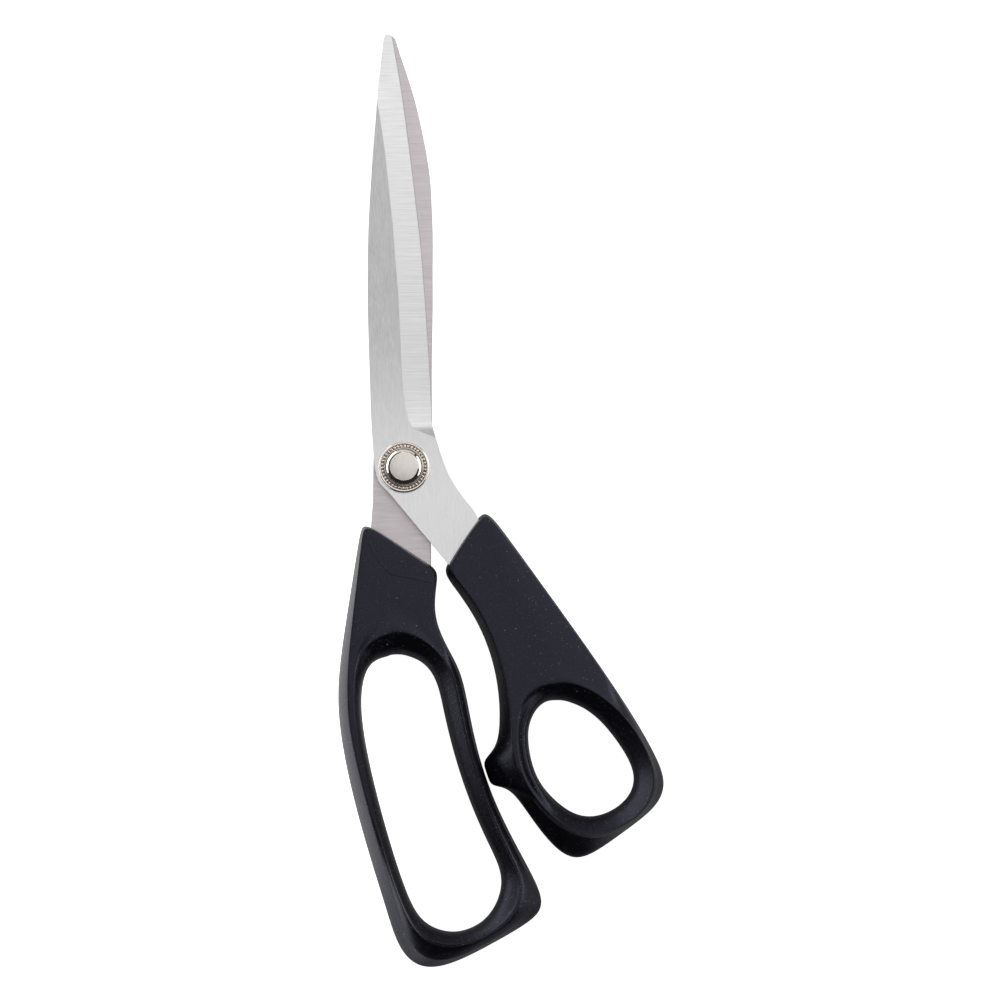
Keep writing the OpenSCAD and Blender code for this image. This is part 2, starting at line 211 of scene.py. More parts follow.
# %% Streaks from a grinding belt
def belt_streaks():
    """Long thin streaks along the object's X or Y: Scale is (across, along, through)."""
    group, entry, end = new_group("belt_streaks", [
        ("Scale", "NodeSocketVector", (100, 100, 100)),
        ("Fine Share", "NodeSocketFloat", 0.5)], [("Streaks", "NodeSocketFloat")])
    place = node(group, "ShaderNodeTexCoord")
    stretch = node(group, "ShaderNodeVectorMath", operation="MULTIPLY")
    group.links.new(place.outputs["Object"], stretch.inputs[0])
    group.links.new(entry.outputs["Scale"], stretch.inputs[1])
    coarse = node(group, "ShaderNodeTexNoise")
    coarse.inputs["Scale"].default_value = 1.0
    coarse.inputs["Detail"].default_value = 3.0
    coarse.inputs["Roughness"].default_value = 0.6
    fine = node(group, "ShaderNodeTexNoise")
    fine.inputs["Scale"].default_value = 3.1
    fine.inputs["Detail"].default_value = 2.0
    for texture in (coarse, fine):
        group.links.new(stretch.outputs[0], texture.inputs["Vector"])
    blend = node(group, "ShaderNodeMix", data_type="FLOAT")
    group.links.new(entry.outputs["Fine Share"], blend.inputs[0])
    group.links.new(coarse.outputs["Fac"], blend.inputs[2])
    group.links.new(fine.outputs["Fac"], blend.inputs[3])
    group.links.new(blend.outputs[0], end.inputs["Streaks"])
    return group


STREAKS = belt_streaks()


# %% Grain of moulded plastic, and specks of dust
def moulded_grain():
    group, entry, end = new_group("moulded_grain", [
        ("Grain Size", "NodeSocketFloat", 0.0003)], [("Height", "NodeSocketFloat")])
    place = node(group, "ShaderNodeTexCoord")
    scale = math_node(group, "DIVIDE", 1.0, entry.outputs["Grain Size"])
    pits = node(group, "ShaderNodeTexNoise")
    pits.inputs["Detail"].default_value = 3.0
    pits.inputs["Roughness"].default_value = 0.65
    group.links.new(place.outputs["Object"], pits.inputs["Vector"])
    group.links.new(scale, pits.inputs["Scale"])
    group.links.new(pits.outputs["Fac"], end.inputs["Height"])
    return group


def dust_specks():
    """A mask of small round specks: about one cell in a few holds one."""
    group, entry, end = new_group("dust_specks", [
        ("Spacing", "NodeSocketFloat", 0.0015),
        ("Size", "NodeSocketFloat", 0.12),
        ("Amount", "NodeSocketFloat", 0.35)], [("Mask", "NodeSocketFloat")])
    place = node(group, "ShaderNodeTexCoord")
    scale = math_node(group, "DIVIDE", 1.0, entry.outputs["Spacing"])
    cells = node(group, "ShaderNodeTexVoronoi", feature="F1")
    group.links.new(place.outputs["Object"], cells.inputs["Vector"])
    group.links.new(scale, cells.inputs["Scale"])
    pick = node(group, "ShaderNodeSeparateColor")
    group.links.new(cells.outputs["Color"], pick.inputs[0])
    chosen = math_node(group, "LESS_THAN", pick.outputs[0], entry.outputs["Amount"])
    size = math_node(group, "MULTIPLY", entry.outputs["Size"], pick.outputs[1])
    inside = math_node(group, "LESS_THAN", cells.outputs["Distance"], size)
    bright = math_node(group, "MULTIPLY", chosen, inside)
    faded = math_node(group, "MULTIPLY", bright, pick.outputs[2])
    group.links.new(faded, end.inputs["Mask"])
    return group


GRAIN = moulded_grain()
DUST = dust_specks()
print("shared effects:", [g.name for g in bpy.data.node_groups])

# %% [markdown]
# ## Finishes
#
# A finish here is a metal or plastic shader whose roughness, tint and bump all follow the same
# streaks or grain, because on the real thing one scratch changes all three at once.

# %% Steel finishes
def new_material(name, base, metallic, roughness):
    material = bpy.data.materials.new(name)
    material.use_nodes = True
    shader = material.node_tree.nodes["Principled BSDF"]
    shader.inputs["Base Color"].default_value = (*base, 1)
    shader.inputs["Metallic"].default_value = metallic
    shader.inputs["Roughness"].default_value = roughness
    return material, material.node_tree, shader


def add_group(tree, group, **values):
    made = node(tree, "ShaderNodeGroup", node_tree=group)
    for label, value in values.items():
        made.inputs[label.replace("_", " ")].default_value = value
    return made


def tinted(tree, mask, dark, light):
    ramp = node(tree, "ShaderNodeMix", data_type="RGBA")
    tree.links.new(mask, ramp.inputs[0])
    ramp.inputs[6].default_value = (*dark, 1)
    ramp.inputs[7].default_value = (*light, 1)
    return ramp.outputs[2]


def spread(tree, value, low, high):
    ranged = node(tree, "ShaderNodeMapRange")
    ranged.inputs["From Min"].default_value = 0.3
    ranged.inputs["From Max"].default_value = 0.7
    ranged.inputs["To Min"].default_value = low
    ranged.inputs["To Max"].default_value = high
    tree.links.new(value, ranged.inputs["Value"])
    return ranged.outputs["Result"]


def bump(tree, shader, height, depth):
    made = node(tree, "ShaderNodeBump")
    made.inputs["Strength"].default_value = 1.0
    made.inputs["Distance"].default_value = depth
    tree.links.new(height, made.inputs["Height"])
    tree.links.new(made.outputs["Normal"], shader.inputs["Normal"])


TANG_LIGHT_START = 45 * MM                        # the painted light, a paler tint towards the tang, fades in from here
TANG_LIGHT_FULL = -10 * MM


def ground_steel(name, dark, light, rough, scale, depth, painted_tang_light=None):
    """Steel in two tints under streaks. A second, paler pair of tints takes over towards the tang:
    painted light, not a tint of the steel.
    """
    material, tree, shader = new_material(name, light, 1.0, rough[0])
    streaks = add_group(tree, STREAKS, Scale=scale, Fine_Share=0.5).outputs["Streaks"]
    mask = spread(tree, streaks, 0.0, 1.0)
    colour = tinted(tree, mask, dark, light)
    # Painted light: the base colour grows paler from mid-blade to the tang, where the light falls
    # brighter.
    if painted_tang_light:
        place = node(tree, "ShaderNodeTexCoord")
        parts = node(tree, "ShaderNodeSeparateXYZ")
        tree.links.new(place.outputs["Object"], parts.inputs[0])
        tang_light_share = node(tree, "ShaderNodeMapRange", interpolation_type="SMOOTHSTEP")
        tang_light_share.inputs["From Min"].default_value = TANG_LIGHT_START
        tang_light_share.inputs["From Max"].default_value = TANG_LIGHT_FULL
        tree.links.new(parts.outputs["Y"], tang_light_share.inputs["Value"])
        both = node(tree, "ShaderNodeMix", data_type="RGBA")
        tree.links.new(tang_light_share.outputs["Result"], both.inputs[0])
        tree.links.new(colour, both.inputs[6])
        tree.links.new(tinted(tree, mask, *painted_tang_light), both.inputs[7])
        colour = both.outputs[2]
    tree.links.new(colour, shader.inputs["Base Color"])
    tree.links.new(spread(tree, streaks, rough[1], rough[0]), shader.inputs["Roughness"])
    bump(tree, shader, streaks, depth)
    return material


# The paler tints on the flats towards the tang are painted light.
satin_flat = ground_steel("satin_flat", (0.54, 0.535, 0.545), (0.76, 0.755, 0.765),
                          (0.34, 0.44), (5200, 260, 800), 0.000004,
                          painted_tang_light=((0.90, 0.895, 0.905), (1.0, 0.99, 1.0)))
ground_slope = ground_steel("ground_slope", (0.74, 0.735, 0.745), (1.0, 0.99, 1.0),
                            (0.30, 0.42), (45, 2400, 0), 0.000012)
inner_face = ground_steel("inner_face", (0.70, 0.64, 0.66), (0.83, 0.77, 0.79),
                          (0.36, 0.5), (60, 2000, 0), 0.000010)
blade_wall = ground_steel("blade_wall", (0.42, 0.42, 0.43), (0.58, 0.58, 0.59), (0.3, 0.45),
                          (900, 900, 9000), 0.000008)
print("steel finishes made")

# %% Nickel, bronze, nylon
def polished(name, base, roughness, streak_scale, depth=0.000003):
    material, tree, shader = new_material(name, base, 1.0, roughness)
    streaks = add_group(tree, STREAKS, Scale=streak_scale, Fine_Share=0.5).outputs["Streaks"]
    tree.links.new(spread(tree, streaks, roughness * 0.7, roughness * 1.5),
                   shader.inputs["Roughness"])
    dark = tuple(c * 0.93 for c in base)
    tree.links.new(tinted(tree, spread(tree, streaks, 0.0, 1.0), dark, base),
                   shader.inputs["Base Color"])
    bump(tree, shader, streaks, depth)
    return material


bright_nickel = polished("bright_nickel", (0.96, 0.89, 0.82), 0.12, (900, 900, 900))
satin_nickel = polished("satin_nickel", (0.90, 0.845, 0.79), 0.34, (3000, 700, 900), 0.000005)
# A darker nickel for the rosette's groove floor between its beads and for its recess: painted shade.
shade_painted_nickel = polished("shade_painted_nickel", (0.40, 0.34, 0.29), 0.45, (900, 900, 900))
spring_grey = polished("spring_grey", (0.38, 0.38, 0.40), 0.30, (1500, 1500, 800))
bronze = polished("bronze", (0.60, 0.40, 0.20), 0.30, (1500, 1500, 800))


def nylon_white():
    material, tree, shader = new_material("nylon_white", (0.80, 0.79, 0.75), 0.0, 0.45)
    grain = add_group(tree, GRAIN, Grain_Size=0.0004).outputs["Height"]
    tint = tinted(tree, spread(tree, grain, 0.0, 1.0), (0.74, 0.73, 0.69), (0.84, 0.83, 0.79))
    tree.links.new(tint, shader.inputs["Base Color"])
    bump(tree, shader, grain, 0.00001)
    return material


nylon = nylon_white()


# %% Black moulded plastic
def black_plastic():
    """Bluish-black plastic with a fine grain, faint patches and specks of pale dust."""
    material, tree, shader = new_material("black_plastic", (0.0012, 0.0012, 0.002), 0.0, 0.4)
    shader.inputs["Specular IOR Level"].default_value = 0.58
    shader.inputs["Specular Tint"].default_value = (0.74, 0.73, 1.0, 1)
    grain = add_group(tree, GRAIN, Grain_Size=0.00045).outputs["Height"]
    patches = add_group(tree, GRAIN, Grain_Size=0.006).outputs["Height"]
    body = tinted(tree, spread(tree, patches, 0.0, 1.0), (0.0010, 0.0010, 0.0018),
                  (0.0016, 0.0016, 0.0026))
    specks = add_group(tree, DUST, Spacing=0.0016, Size=0.12, Amount=0.35).outputs["Mask"]
    fine_specks = add_group(tree, DUST, Spacing=0.0005, Size=0.32, Amount=0.5).outputs["Mask"]
    dust = math_node(tree, "MAXIMUM", specks, math_node(tree, "MULTIPLY", fine_specks, 0.5))
    dusty = node(tree, "ShaderNodeMix", data_type="RGBA")
    tree.links.new(dust, dusty.inputs[0])
    tree.links.new(body, dusty.inputs[6])
    dusty.inputs[7].default_value = (0.28, 0.28, 0.34, 1)
    tree.links.new(dusty.outputs[2], shader.inputs["Base Color"])
    tree.links.new(spread(tree, grain, 0.30, 0.42), shader.inputs["Roughness"])
    bump(tree, shader, grain, 0.00006)
    return material


moulded_black = black_plastic()
print("materials:", len(bpy.data.materials))

# %% [markdown]
# ## From a bmesh to a finished piece
#
# Every piece is made the same way: a bmesh is shaped, its doubles are merged, its sharp edges
# are marked by angle so that flat steel stays flat and curves stay round, and the object rides
# on the body that the real piece is fixed to.

# %% Finishing helper
def finish_piece(shape, name, materials, body, stands_for=(), sharp=32, smooth=True,
                 same_finish=0):
    """Faces of one finish still meet smoothly up to same_finish degrees."""
    bmesh.ops.remove_doubles(shape, verts=shape.verts, dist=0.000002)
    bmesh.ops.recalc_face_normals(shape, faces=shape.faces)
    for edge in shape.edges:
        joined = len(edge.link_faces) == 2
        alike = joined and edge.link_faces[0].material_index == edge.link_faces[1].material_index
        most = max(sharp, same_finish) if alike else sharp
        edge.smooth = joined and edge.calc_face_angle(0) < math.radians(most)
    for face in shape.faces:
        face.smooth = smooth
    mesh = bpy.data.meshes.new(name)
    shape.to_mesh(mesh)
    shape.free()
    for material in materials:
        mesh.materials.append(material)
    piece = bpy.data.objects.new(name, mesh)
    bpy.context.scene.collection.objects.link(piece)
    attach(piece, body)
    if stands_for:
        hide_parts(*stands_for)
    print(f"{name}: {len(mesh.polygons)} faces")
    return piece


def copy_of(node_name):
    """A bmesh of a CAD node's own mesh, with its loose triangles merged into clean faces."""
    shape = bmesh.new()
    shape.from_mesh(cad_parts[node_name].data)
    bmesh.ops.remove_doubles(shape, verts=shape.verts, dist=0.000001)
    bmesh.ops.dissolve_limit(shape, angle_limit=math.radians(0.4), verts=shape.verts,
                             edges=shape.edges)
    return shape


# %% [markdown]
# ## The blades
#
# Each blade is stamped from 2.8 mm strip and then ground: its faces along the length, the slope
# behind the cutting edge across it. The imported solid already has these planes, so its own mesh
# is copied, its corners are broken with a small bevel as a finishing belt does, and each face
# gets the finish of the wheel that made it, chosen by the way the face looks.

# %% Blades
CORNER = 0.12 * MM


def blade(node_name, body, outer_face_up):
    shape = copy_of(node_name)
    rims = [e for e in shape.edges if len(e.link_faces) == 2
            and e.calc_face_angle(0) > math.radians(50) and e.calc_length() > 0.02 * MM]
    bmesh.ops.bevel(shape, geom=rims, offset=CORNER, offset_type="OFFSET", segments=2,
                    profile=0.5, affect="EDGES", material=-1, clamp_overlap=True)
    bmesh.ops.recalc_face_normals(shape, faces=shape.faces)
    side = 1 if outer_face_up else -1
    for face in shape.faces:
        tilt = face.normal.z * side
        if tilt > 0.995:
            face.material_index = 0
        elif tilt > 0.75:
            face.material_index = 1
        elif tilt < -0.995:
            face.material_index = 2
        else:
            face.material_index = 3
    return finish_piece(shape, node_name + "_ground",
                        [satin_flat, ground_slope, inner_face, blade_wall], body,
                        (node_name,), sharp=12, same_finish=40)


upper_blade = blade("upper_blade", "upper_half", True)
lower_blade = blade("lower_blade", "lower_half", False)

# %% [markdown]
# ## Micro-serration
#
# One blade of fabric shears has hundreds of tiny teeth, which stop cloth from sliding away. Each
# tooth is a small cone on the cutting edge. The edge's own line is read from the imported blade,
# and the teeth are set along it at an even pitch.

# %% Teeth along the cutting edge
TOOTH_PITCH = 0.45 * MM
TOOTH_REACH = 0.2 * MM


def cutting_edge():
    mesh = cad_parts["upper_blade"].data
    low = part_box("upper_blade")[0].z
    line = [v.co.copy() for v in mesh.vertices if abs(v.co.z - low) < 0.01 * MM
            and v.co.y > 14 * MM and v.co.x > 0.3 * MM]
    return sorted(line, key=lambda co: co.y)


def edge_teeth():
    line = cutting_edge()
    shape = bmesh.new()
    reach, count = 0.0, 0
    for start, end in zip(line, line[1:]):
        run = end - start
        while reach < run.length:
            place = start + run.normalized() * reach
            turn = Matrix.Rotation(math.pi / 2, 4, "Y")
            bmesh.ops.create_cone(shape, segments=4, radius1=TOOTH_PITCH * 0.46,
                                  radius2=0.02 * MM, depth=2 * TOOTH_REACH, cap_ends=True,
                                  matrix=Matrix.Translation(place + Vector((0, 0, 0.2 * MM)))
                                  @ turn)
            reach += TOOTH_PITCH
            count += 1
        reach -= run.length
    print("teeth:", count)
    return finish_piece(shape, "edge_teeth", [ground_slope], "upper_half",
                        smooth=False)


edge_teeth()

# %% [markdown]
# ## The pivot
#
# The bolt's head is turned: a satin flat with a polished slope round it. It sits in a rosette,
# a coined plate with a ring of beads. Both are drawn as half a cross-section and spun.

# %% Spinning helper
def spun(shape, outline, steps=96):
    """Spins a list of (radius, height) round +Z, and closes the ends on the axis."""
    verts = [shape.verts.new((radius, 0, height)) for radius, height in outline]
    edges = [shape.edges.new(pair) for pair in zip(verts, verts[1:])]
    bmesh.ops.spin(shape, geom=verts + edges, cent=(0, 0, 0), axis=(0, 0, 1),
                   angle=math.tau, steps=steps, use_merge=True)


# %% Bolt, rosette
bolt_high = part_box("pivot_bolt")[1]
rosette_low, rosette_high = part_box("rosette")
HEAD_RADIUS = bolt_high.x
ROSETTE_RADIUS = rosette_high.x
BEADS = 38
BORE = 3.1 * MM                             # of the rosette, round the bolt
SHANK_RADIUS = 3.0 * MM
HEAD_CHAMFER = 0.95 * MM                    # across the polished slope


def bolt():
    top = bolt_high.z
    shape = bmesh.new()
    slope_in = HEAD_RADIUS - HEAD_CHAMFER
    outline = [(0, top), (slope_in - 0.05 * MM, top), (slope_in + 0.06 * MM, top - 0.03 * MM),
               (HEAD_RADIUS - 0.10 * MM, top - 0.50 * MM), (HEAD_RADIUS - 0.03 * MM, top - 0.57 * MM),
               (HEAD_RADIUS, top - 0.68 * MM), (HEAD_RADIUS, top - 1.9 * MM),
               (SHANK_RADIUS, top - 1.95 * MM), (SHANK_RADIUS, 0.1 * MM),
               (SHANK_RADIUS - 0.1 * MM, 0), (0, 0)]
    spun(shape, outline)
    shape.normal_update()
    for face in shape.faces:
        reach = face.calc_center_median().xy.length
        flat = abs(face.normal.z) > 0.98 and reach < slope_in
        face.material_index = 1 if flat else 0
    return finish_piece(shape, "pivot_bolt_turned", [bright_nickel, satin_nickel],
                        "upper_half", ("pivot_bolt",), sharp=25)


def rosette():
    base = rosette_low.z
    outer = ROSETTE_RADIUS
    recess = HEAD_RADIUS + 0.3 * MM
    lip = recess + 0.3 * MM
    ring = lip + 0.42 * MM
    size = 0.40 * MM
    rim = ring + 0.42 * MM
    floor = base + 0.5 * MM
    shape = bmesh.new()
    outline = [(BORE, base + 0.75 * MM), (BORE, base), (outer - 0.1 * MM, base),
               (outer, base + 0.1 * MM), (outer, base + 0.5 * MM),
               (outer - 0.06 * MM, base + 0.68 * MM), (outer - 0.2 * MM, base + 0.84 * MM),
               (outer - 0.38 * MM, base + 0.9 * MM), (rim + 0.1 * MM, base + 0.88 * MM),
               (rim, base + 0.78 * MM), (rim - 0.02 * MM, floor), (lip + 0.02 * MM, floor),
               (lip, base + 0.9 * MM), (lip - 0.07 * MM, base + 1.04 * MM),
               (recess + 0.08 * MM, base + 1.05 * MM), (recess, base + 0.92 * MM),
               (recess - 0.01 * MM, base + 0.75 * MM), (BORE, base + 0.75 * MM)]
    spun(shape, outline)
    shape.normal_update()
    for face in shape.faces:
        reach = face.calc_center_median().xy.length
        # Painted shade: the flat groove floor between the beads, and the recess, get the darker
        # nickel.
        if abs(face.normal.z) > 0.9 and (lip < reach < rim or reach < recess):
            face.material_index = 1
    for k in range(BEADS):
        place = (Matrix.Rotation(math.tau * k / BEADS, 4, "Z")
                 @ Matrix.Translation((ring, 0, floor + 0.32 * MM)))
        bmesh.ops.create_uvsphere(shape, u_segments=16, v_segments=10, radius=size,
                                  matrix=place)
    return finish_piece(shape, "rosette_beaded", [bright_nickel, shade_painted_nickel], "upper_half",
                        ("rosette",), sharp=60)


bolt()
rosette()

# %% [markdown]
# ## The handles
#
# A moulded handle is a body that flows round a hole, which no box or tube gives. It is drawn as
# four closed rails, seen from above: the outermost edge, the edge of the flat top, the rim of
# the bow and the hole. Each rail is a smooth curve steered by a ring of control points. A flat
# grid is then wrapped round the rails: its long way follows them, and its short way follows a
# cross-section that swells from one rail to the next.

# %% Control points of the rails, in millimetres
FINGER_ROWS = [
    [(-12.4, -16.2), (-11.6, -17.0), (-5.5, -45.3), (-6.5, -51.4)],
    [(-11.6, -15.2), (-10.8, -16.4), (-5.0, -45.1), (-6.0, -51.2)],
    [(-9.2, -15.9), (-9.0, -16.5), (-4.5, -44.9), (-5.5, -51.0)],
    [(-2.5, -20.6), (-2.7, -21.2), (-3.6, -44.9), (-4.6, -50.9)],
    [(4.5, -25.6), (4.1, -26.2), (-2.4, -45.0), (-3.4, -50.9)],
    [(8.2, -28.0), (7.3, -28.6), (-1.2, -45.2), (-2.2, -51.0)],
    [(7.9, -31.3), (7.3, -31.5), (0.2, -45.6), (-0.8, -51.4)],
    [(6.9, -36.8), (6.5, -36.9), (2.2, -46.5), (1.2, -52.2)],
    [(7.2, -42.5), (6.7, -42.8), (4.8, -48.0), (3.2, -53.3)],
    [(10.0, -49.3), (9.3, -49.6), (8.2, -51.2), (5.6, -55.9)],
    [(13.7, -56.0), (13.0, -56.3), (11.2, -56.4), (7.4, -60.4)],
    [(15.1, -65.0), (14.5, -65.2), (12.5, -65.0), (8.4, -67.0)],
    [(17.1, -77.5), (16.5, -77.8), (14.6, -77.0), (10.5, -77.5)],
    [(20.8, -90.5), (20.2, -90.8), (18.2, -90.0), (14.1, -90.5)],
    [(26.7, -103.5), (26.0, -103.6), (23.6, -103.5), (19.2, -103.0)],
    [(33.0, -115.5), (30.2, -112.5), (27.7, -112.0), (22.8, -110.5)],
    [(34.0, -121.5), (30.2, -119.5), (27.9, -117.5), (22.2, -117.0)],
    [(28.5, -125.5), (26.5, -125.0), (24.4, -123.6), (18.5, -123.0)],
    [(18.5, -130.6), (17.8, -129.9), (17.5, -127.8), (14.0, -125.6)],
    [(8.0, -135.6), (7.8, -134.3), (10.5, -129.9), (9.2, -126.7)],
    [(-0.5, -136.6), (0.6, -133.6), (3.6, -129.0), (4.0, -125.4)],
    [(-6.2, -131.0), (-3.6, -127.5), (-1.2, -125.0), (-0.2, -122.4)],
    [(-9.0, -120.0), (-6.2, -117.5), (-4.6, -118.0), (-3.3, -115.8)],
    [(-13.4, -104.5), (-10.3, -102.5), (-9.2, -103.0), (-7.3, -102.0)],
    [(-17.7, -87.0), (-14.1, -86.5), (-13.0, -86.0), (-11.2, -85.5)],
    [(-20.4, -70.0), (-17.5, -70.0), (-15.7, -70.0), (-13.9, -70.0)],
    [(-20.4, -58.0), (-17.4, -57.0), (-15.6, -58.0), (-13.9, -60.0)],
    [(-18.0, -44.0), (-15.6, -43.0), (-13.6, -50.3), (-12.0, -54.2)],
    [(-15.3, -30.5), (-13.6, -30.0), (-10.0, -46.9), (-9.6, -52.2)],
    [(-13.3, -20.0), (-12.2, -20.3), (-6.6, -45.5), (-7.4, -51.6)]]
THUMB_ROWS = [
    [(19.8, -13.9), (20.4, -15.0), (39.0, -60.2), (38.5, -64.8)],
    [(21.6, -12.8), (21.8, -14.2), (39.8, -60.1), (39.0, -64.8)],
    [(24.0, -14.6), (23.4, -15.4), (40.6, -60.0), (39.6, -64.8)],
    [(29.0, -22.0), (28.5, -22.2), (41.8, -60.0), (40.6, -64.9)],
    [(36.0, -32.4), (35.6, -32.7), (43.4, -60.2), (41.8, -65.1)],
    [(44.0, -44.4), (43.6, -44.6), (46.0, -61.0), (43.6, -65.8)],
    [(52.0, -56.6), (51.6, -56.8), (50.5, -63.2), (46.8, -67.2)],
    [(60.0, -69.6), (59.5, -70.0), (57.2, -69.0), (51.4, -71.0)],
    [(66.0, -81.0), (64.6, -81.0), (62.9, -77.8), (56.4, -78.0)],
    [(68.6, -88.5), (66.6, -88.5), (65.8, -87.0), (60.0, -85.0)],
    [(65.6, -94.8), (63.8, -94.8), (63.0, -94.8), (58.8, -91.0)],
    [(57.6, -100.2), (57.0, -99.9), (56.4, -99.4), (53.4, -95.4)],
    [(50.0, -105.5), (49.8, -103.0), (48.6, -101.6), (47.2, -97.0)],
    [(42.5, -109.4), (42.8, -101.6), (42.2, -100.2), (42.0, -95.4)],
    [(36.0, -103.8), (37.0, -98.0), (37.2, -96.6), (37.6, -91.6)],
    [(30.4, -95.4), (33.0, -93.4), (33.6, -92.2), (34.6, -88.0)],
    [(25.4, -87.4), (30.4, -89.3), (31.0, -88.2), (33.0, -84.8)],
    [(20.05, -87.9), (28.9, -86.0), (29.6, -85.2), (32.2, -82.2)],
    [(19.45, -83.9), (28.0, -83.3), (28.8, -82.8), (31.7, -80.0)],
    [(17.85, -80.4), (27.4, -80.8), (28.4, -80.6), (31.4, -78.0)],
    [(22.4, -77.4), (26.8, -77.5), (28.0, -77.4), (31.2, -75.4)],
    [(23.6, -70.5), (26.8, -72.0), (27.8, -72.6), (31.3, -72.0)],
    [(23.6, -62.0), (26.6, -64.0), (29.0, -67.0), (32.6, -68.5)],
    [(22.2, -52.5), (24.6, -54.0), (31.6, -63.0), (34.4, -66.2)],
    [(18.4, -42.0), (21.2, -43.0), (34.8, -60.9), (36.2, -65.1)],
    [(12.6, -33.2), (15.2, -33.2), (36.8, -60.4), (37.2, -64.9)],
    [(9.4, -28.8), (11.0, -28.4), (37.6, -60.3), (37.8, -64.8)],
    [(11.4, -25.6), (12.6, -25.8), (38.2, -60.3), (38.2, -64.8)],
    [(15.6, -19.6), (16.4, -20.0), (38.6, -60.2), (38.4, -64.8)]]


# %% Rails as smooth closed curves
def closed_curve(ring, steps):
    """A uniform cubic B-spline round a closed ring of control points, as 2-D vectors."""
    points = [Vector(p) for p in ring]
    out = []
    for i in range(len(points)):
        a, b, c, d = (points[(i + k) % len(points)] for k in (-1, 0, 1, 2))
        for s in range(steps):
            t = s / steps
            out.append(((1 - t) ** 3 * a + (3 * t ** 3 - 6 * t * t + 4) * b
                        + (-3 * t ** 3 + 3 * t * t + 3 * t + 1) * c + t ** 3 * d) / 6)
    return out


# %% The cross-section, from the outermost edge over the top to the hole and back below
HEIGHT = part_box("finger_handle")[1].z
OUTER, TOP_EDGE, RIM, HOLE = range(4)
UNDERSIDE = [
    (RIM, HOLE, 0.95, 0.34), (RIM, HOLE, 0.80, 0.20), (RIM, HOLE, 0.50, 0.07),
    (RIM, HOLE, 0.15, 0.0), (TOP_EDGE, RIM, 0.6, 0.0), (TOP_EDGE, RIM, 0.1, 0.0),
    (OUTER, TOP_EDGE, 0.62, 0.035), (OUTER, TOP_EDGE, 0.25, 0.12), (OUTER, TOP_EDGE, 0.06, 0.22)]
FLANK = [
    (OUTER, TOP_EDGE, 0.00, 0.36), (OUTER, TOP_EDGE, 0.12, 0.50), (OUTER, TOP_EDGE, 0.50, 0.74),
    (OUTER, TOP_EDGE, 0.90, 0.93), (OUTER, TOP_EDGE, 0.98, 0.955), (TOP_EDGE, RIM, 0.03, 0.962)]
# The finger bow's flat top ends in a fine raised lip, and its hole falls away in one slope.
FINGER_SECTION = FLANK + [
    (TOP_EDGE, RIM, 0.30, 0.966), (TOP_EDGE, RIM, 0.60, 0.968), (TOP_EDGE, RIM, 0.80, 0.960),
    (TOP_EDGE, RIM, 0.88, 0.982), (TOP_EDGE, RIM, 0.95, 1.0), (RIM, HOLE, 0.02, 0.995),
    (RIM, HOLE, 0.12, 0.955), (RIM, HOLE, 0.40, 0.88), (RIM, HOLE, 0.70, 0.78),
    (RIM, HOLE, 0.93, 0.63), (RIM, HOLE, 1.0, 0.46)] + UNDERSIDE
# The thumb bow crests at its rim and slopes into the hole. On the thumb's own side, at -X,
# the slope swells into a fat roll instead: the last number is the height there.
THUMB_SECTION = FLANK + [
    (TOP_EDGE, RIM, 0.30, 0.964), (TOP_EDGE, RIM, 0.60, 0.966), (TOP_EDGE, RIM, 0.86, 0.966),
    (TOP_EDGE, RIM, 0.96, 0.985, 0.972), (RIM, HOLE, 0.03, 0.985, 0.950),
    (RIM, HOLE, 0.10, 0.960, 0.935), (RIM, HOLE, 0.24, 0.910, 0.935),
    (RIM, HOLE, 0.40, 0.850, 0.965), (RIM, HOLE, 0.58, 0.780, 0.968),
    (RIM, HOLE, 0.74, 0.710, 0.925), (RIM, HOLE, 0.88, 0.620, 0.830),
    (RIM, HOLE, 0.97, 0.540, 0.680), (RIM, HOLE, 1.0, 0.46)] + UNDERSIDE
END_DROP = 0.20                             # of the height, at the far end of each bow
SIDE_DROP = 0.20                            # and on the side that faces +X
CROWN = 0.17                                # of the height, at the thumb handle's +X edge
ROLL_START = -39.0                          # minus the hole's X, in mm, where the roll starts
ROLL_FULL = -32.5                           # and where it has its full height


def eased(value, low, high):
    share = max(0.0, min(1.0, (value - low) / (high - low)))
    return share * share * (3 - 2 * share)


def fallen(start, share, height, outward):
    """How far the top falls away towards the outermost edge, as a share of the height."""
    if start == RIM or height < 0.3:
        return 0.0
    ends = END_DROP * eased(-outward.y, 0.25, 0.8)
    sides = SIDE_DROP * eased(outward.x, 0.45, 0.85)
    reach = (1 - share) ** 1.5 if start == TOP_EDGE else eased(height, 0.3, 0.93)
    return max(ends, sides) * reach


def crowned(flat, height):
    """How far the thumb handle's broad top falls away on the +X side of its middle line."""
    top, foot = Vector((21.0, -18.0)) * MM, Vector((43.0, -62.0)) * MM
    run = foot - top
    along = (flat - top).dot(run) / run.length_squared
    across = max(0.0, run.cross(flat - top)) / run.length
    half = (6.0 + 9.0 * max(0.0, min(1.0, along))) * MM
    fade = eased(along, -0.05, 0.25) * (1 - eased(along, 0.9, 1.15)) * eased(height, 0.4, 0.9)
    return CROWN * min(1.3, across / half) ** 2 * fade


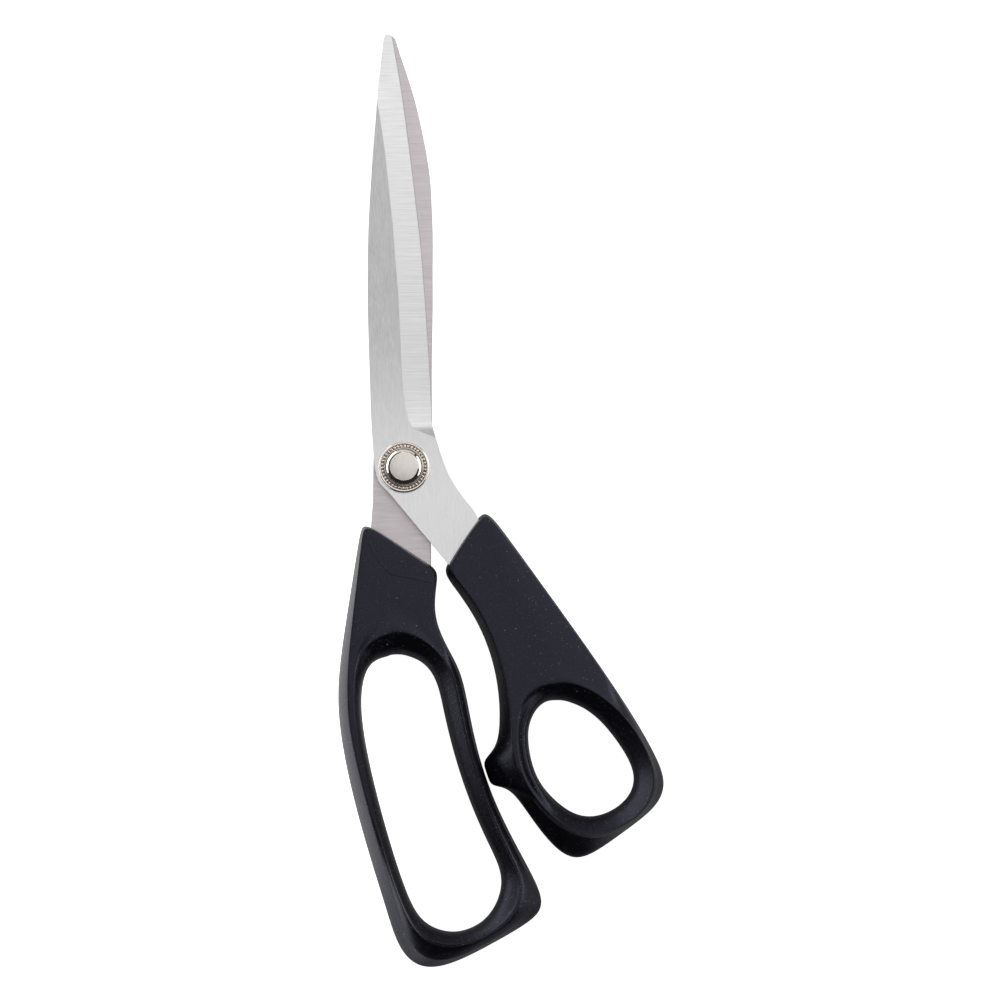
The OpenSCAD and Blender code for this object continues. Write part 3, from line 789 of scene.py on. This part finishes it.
def handle(name, rows, section, body, crown=False, steps=4):
    rails = [closed_curve([row[r] for row in rows], steps) for r in range(4)]
    stations, around = len(rails[0]), len(section)
    shape = bmesh.new()
    bmesh.ops.create_grid(shape, x_segments=stations, y_segments=around, size=1)
    shape.verts.ensure_lookup_table()
    ordered = sorted(shape.verts, key=lambda v: (round(v.co.y, 5), round(v.co.x, 5)))
    for index, vert in enumerate(ordered):
        k, i = divmod(index, stations + 1)
        start, end, share, height, *thumb_side = section[k % around]
        i %= stations
        flat = rails[start][i].lerp(rails[end][i], share) * MM
        outward = (rails[OUTER][i] - rails[HOLE][i]).normalized()
        rolled = eased(-rails[HOLE][i].x, ROLL_START, ROLL_FULL)
        if thumb_side:
            height += (thumb_side[0] - height) * rolled
        height -= fallen(start, share, height, outward)
        if crown:
            height -= crowned(flat, height)
        vert.co = (flat.x, flat.y, height * HEIGHT)
    piece = finish_piece(shape, name + "_moulded", [moulded_black], body,
                         (name,), sharp=180)
    rounding = piece.modifiers.new("rounding", "SUBSURF")
    rounding.levels = rounding.render_levels = 2
    return piece


handle("finger_handle", FINGER_ROWS, FINGER_SECTION, "lower_half")
handle("thumb_handle", THUMB_ROWS, THUMB_SECTION, "upper_half", crown=True)

# %% [markdown]
# ## Witness lines
#
# Where two parts of a mould meet, the plastic keeps a line a few hundredths of a millimetre
# high. Such a line is a tiny ridge: a flat strip that follows a curve on the handle's top, with
# its middle lifted.

# %% Ridges on the finger handle
def open_curve(points, steps=8):
    """A smooth curve through a list of points (Catmull-Rom)."""
    points = [Vector(p) for p in points]
    ends = [points[0]] + points + [points[-1]]
    out = []
    for a, b, c, d in zip(ends, ends[1:], ends[2:], ends[3:]):
        for s in range(steps):
            t = s / steps
            out.append((2 * b + (c - a) * t + (2 * a - 5 * b + 4 * c - d) * t * t
                        + (3 * b - a - 3 * c + d) * t ** 3) / 2)
    return out + [points[-1]]


def ridge(name, points, top, width=0.34 * MM, lift=0.10 * MM):
    line = open_curve(points)
    shape = bmesh.new()
    bmesh.ops.create_grid(shape, x_segments=len(line) - 1, y_segments=2, size=1)
    ordered = sorted(shape.verts, key=lambda v: (round(v.co.y, 4), round(v.co.x, 4)))
    for index, vert in enumerate(ordered):
        k, i = divmod(index, len(line))
        ahead = line[min(i + 1, len(line) - 1)] - line[max(i - 1, 0)]
        across = Vector((-ahead.y, ahead.x)).normalized()
        fade = min(1, i / 4, (len(line) - 1 - i) / 4)
        flat = line[i] * MM + across * (k - 1) * width / 2
        vert.co = (flat.x, flat.y, top + (lift * fade if k == 1 else -0.02 * MM))
    return finish_piece(shape, name, [moulded_black], "lower_half", sharp=80)


TOP = 0.966 * HEIGHT
ridge("entry_witness_line", [(-11.0, -17.6), (-9.2, -22.5), (-7.1, -26.2), (-4.6, -28.8),
                             (-2.0, -29.7), (0.8, -30.3), (7.0, -31.8)], TOP)
ridge("bow_witness_line", [(-16.0, -49.4), (-14.2, -47.0), (-11.4, -45.3), (-8.3, -44.3)], TOP)

# %% [markdown]
# ## Small parts under the pivot
#
# The washers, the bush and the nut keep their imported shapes, which are right, and only get
# their finishes.

# %% Finishes of the small parts
for name, material in (("pivot_bush", bronze), ("spring_washer", spring_grey),
                       ("thrust_washer", nylon), ("nylon_shim", nylon),
                       ("tension_nut", bright_nickel)):
    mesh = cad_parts[name].data
    mesh.materials.clear()
    mesh.materials.append(material)
    print(name, "->", material.name)
